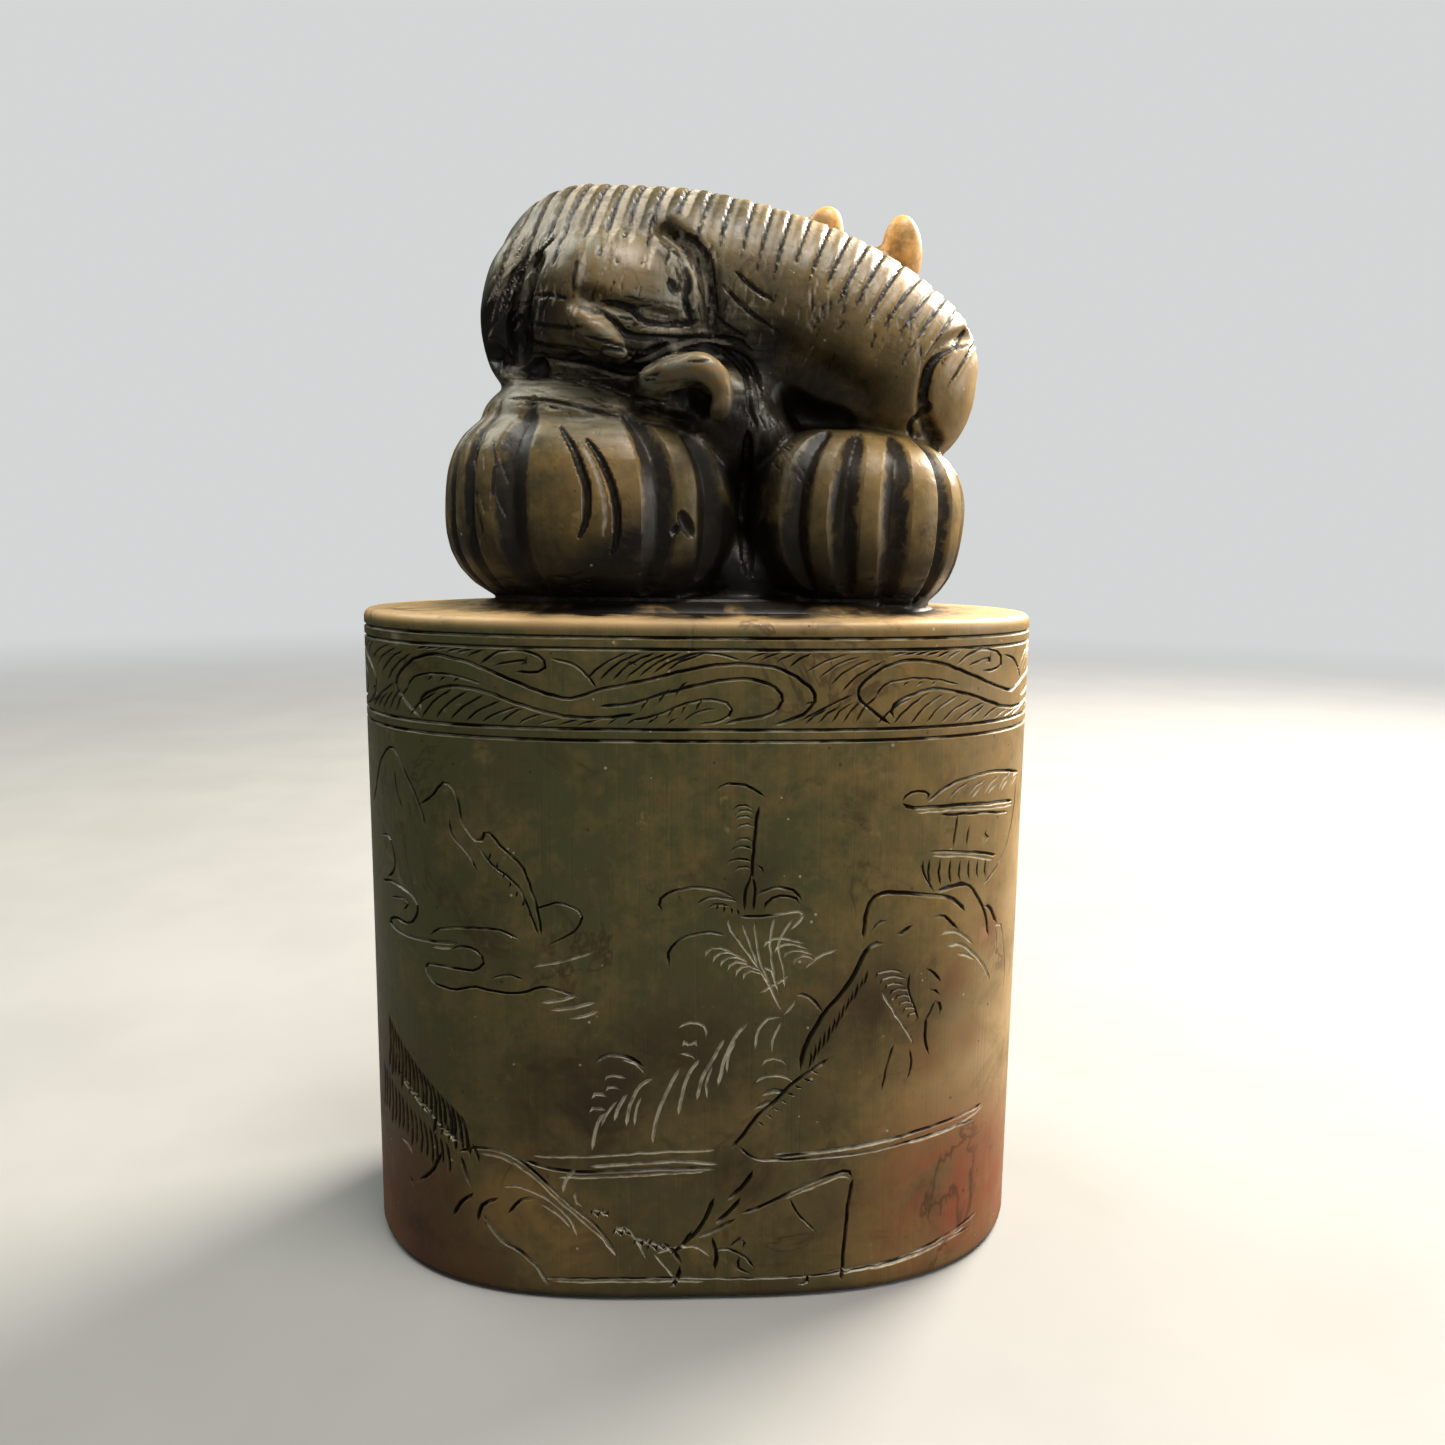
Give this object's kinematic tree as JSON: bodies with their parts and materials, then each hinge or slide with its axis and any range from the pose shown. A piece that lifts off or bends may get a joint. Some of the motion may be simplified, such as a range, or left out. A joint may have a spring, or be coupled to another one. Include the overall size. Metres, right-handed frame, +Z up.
{
  "type": "chop seal",
  "caption": "Hand-held stone chop seal: an oval block with an engraved wall and a crouching beast carved on its top.",
  "frame": {"origin": "centre of the flat seal face that the block stands on", "axes": "+Z up through the block to the beast, -Y towards the front with the landscape, X along the long side"},
  "size_m": [0.0608, 0.0334, 0.0942],
  "materials": {
    "stone": "polished"
  },
  "bodies": {
    "root": {"seal": "stone"}
  },
  "joints": []
}
